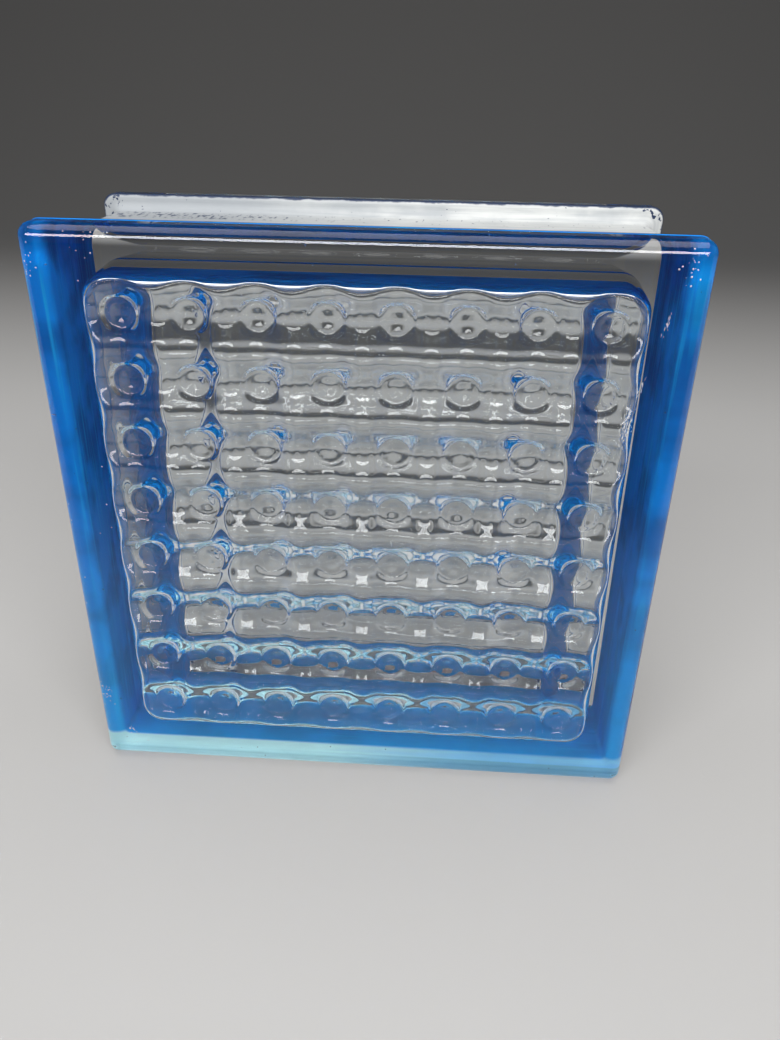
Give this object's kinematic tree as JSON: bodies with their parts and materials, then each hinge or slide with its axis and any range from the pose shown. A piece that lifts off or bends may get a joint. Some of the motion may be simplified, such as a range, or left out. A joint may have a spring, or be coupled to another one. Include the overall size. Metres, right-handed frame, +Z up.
{
  "type": "glass block",
  "caption": "Square hollow block of clear glass with pressed relief inside both faces and a painted mortar channel round its four edges.",
  "frame": {"origin": "middle of the footprint, on the level that the two lips stand on", "axes": "+Z up, +X along the face's width, -Y out of the front face; the block's 80 mm depth runs along Y"},
  "size_m": [0.19, 0.08, 0.19],
  "materials": {
    "clear_glass": "fire-polished clear pressed glass",
    "channel_paint": "brushed paint on the channel, blue against the glass and white outside, worn and chipped"
  },
  "bodies": {
    "root": {"glass_block": "clear_glass"}
  },
  "joints": []
}
